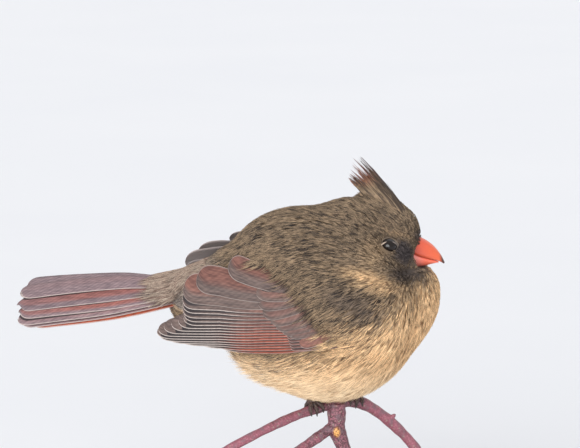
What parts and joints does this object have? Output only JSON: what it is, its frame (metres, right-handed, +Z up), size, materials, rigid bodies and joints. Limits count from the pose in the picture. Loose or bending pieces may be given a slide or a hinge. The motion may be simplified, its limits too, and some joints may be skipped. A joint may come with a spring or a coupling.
{
  "type": "northern cardinal",
  "caption": "Still, life-size model of a fluffed-up female northern cardinal on a forked twig, held by a short rod on a flat base.",
  "frame": {"origin": "centre of the flat underside of the display stand", "axes": "+Z up, +X the way that the bird faces, +Y the bird's left"},
  "size_m": [0.2033, 0.0899, 0.188],
  "materials": {
    "olive_plumage": "soft olive-brown feathers",
    "buff_plumage": "soft warm buff feathers",
    "crest_red": "dark red-brown crest feathers",
    "wing_feather": "red-brown flight feathers with pale edges",
    "tail_feather": "dusky tail feathers with red edges",
    "bill_horn": "smooth coral-red horn",
    "eye_dark": "wet, nearly black",
    "leg_skin": "dark grey-brown scaled skin",
    "twig_bark": "smooth purplish-red bark",
    "stand_wood": "dark satin-varnished wood",
    "stand_metal": "satin brass rod"
  },
  "bodies": {
    "root": {"torso": "buff_plumage", "neck": "olive_plumage", "head": "olive_plumage", "crest": "crest_red", "eye_left": "eye_dark", "eye_right": "eye_dark", "upper_mandible": "bill_horn", "lower_mandible": "bill_horn", "wing_left": "wing_feather", "wing_right": "wing_feather", "tail": "tail_feather", "leg_left": "leg_skin", "leg_right": "leg_skin", "foot_left": "leg_skin", "foot_right": "leg_skin", "perch": "twig_bark", "stand_rod": "stand_metal", "stand_base": "stand_wood"}
  },
  "joints": []
}
